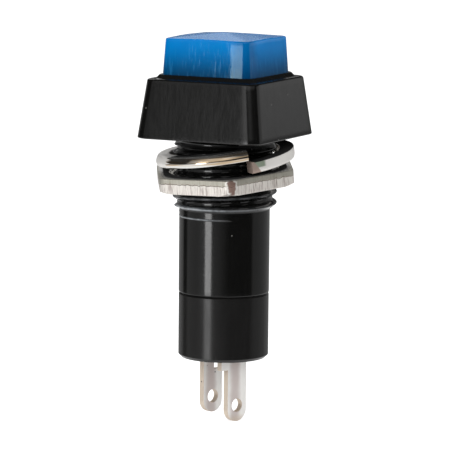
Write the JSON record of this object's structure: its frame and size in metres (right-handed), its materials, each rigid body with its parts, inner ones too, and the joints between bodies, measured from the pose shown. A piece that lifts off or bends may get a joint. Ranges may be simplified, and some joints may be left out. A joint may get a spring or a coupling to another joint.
{
  "type": "pushbutton switch",
  "caption": "Square-headed panel-mount pushbutton switch with a threaded bushing, split lock washer, hex nut and solder terminals.",
  "frame": {"origin": "centre of the head's underside, the face that seats on the panel", "axes": "+Z along the bushing's axis from the terminals towards the cap; X and Y square to the head's sides"},
  "size_m": [0.0172, 0.0158, 0.0441],
  "materials": {
    "black_plastic": "glossy moulded black",
    "blue_plastic": "semi-translucent glossy blue",
    "white_plastic": "natural moulded",
    "spring_steel": "drawn wire",
    "nickel_plate": "bright nickel plate",
    "tinned_brass": "satin tin plate on brass",
    "contact_silver": "silver-faced rivet"
  },
  "bodies": {
    "body": {"housing": "black_plastic", "terminal_base": "black_plastic", "terminal_long": "tinned_brass", "terminal_short": "tinned_brass", "fixed_contact_long": "contact_silver", "fixed_contact_short": "contact_silver", "return_spring": "spring_steel"},
    "button": {"button_cap": "blue_plastic", "plunger": "white_plastic", "bridge_clip": "spring_steel", "contact_spring": "spring_steel"},
    "bridge": {"contact_bridge": "tinned_brass", "moving_contact_long": "contact_silver", "moving_contact_short": "contact_silver"},
    "washer": {"lock_washer": "nickel_plate"},
    "nut": {"hex_nut": "nickel_plate"}
  },
  "joints": [
    {"name": "button_press", "type": "slide", "parent": "body", "child": "button", "axis": [0, 0, -1], "range_m": [0, 0.003], "stiffness_N_per_m": 500, "springref_m": -0.003, "deforming": ["return_spring"]},
    {"name": "bridge_float", "type": "slide", "parent": "button", "child": "bridge", "axis": [0, 0, 1], "range_m": [0, 0.001], "deforming": ["contact_spring"]},
    {"name": "washer_slide", "type": "slide", "parent": "body", "child": "washer", "axis": [0, 0, 1], "range_m": [-0.00438, 0.00047]},
    {"name": "nut_turn", "type": "hinge", "parent": "washer", "child": "nut", "pos_m": [0, 0, -0.00446], "axis": [-0.028, -0.0917, 0.9954], "range_deg": [-1260, 135]}
  ],
  "couplings": [
    {"joint": "bridge_float", "follows": "button_press", "ratio": 0.3333},
    {"joint": "nut_turn", "follows": "washer_slide", "rad_per_m": 5026.5}
  ]
}
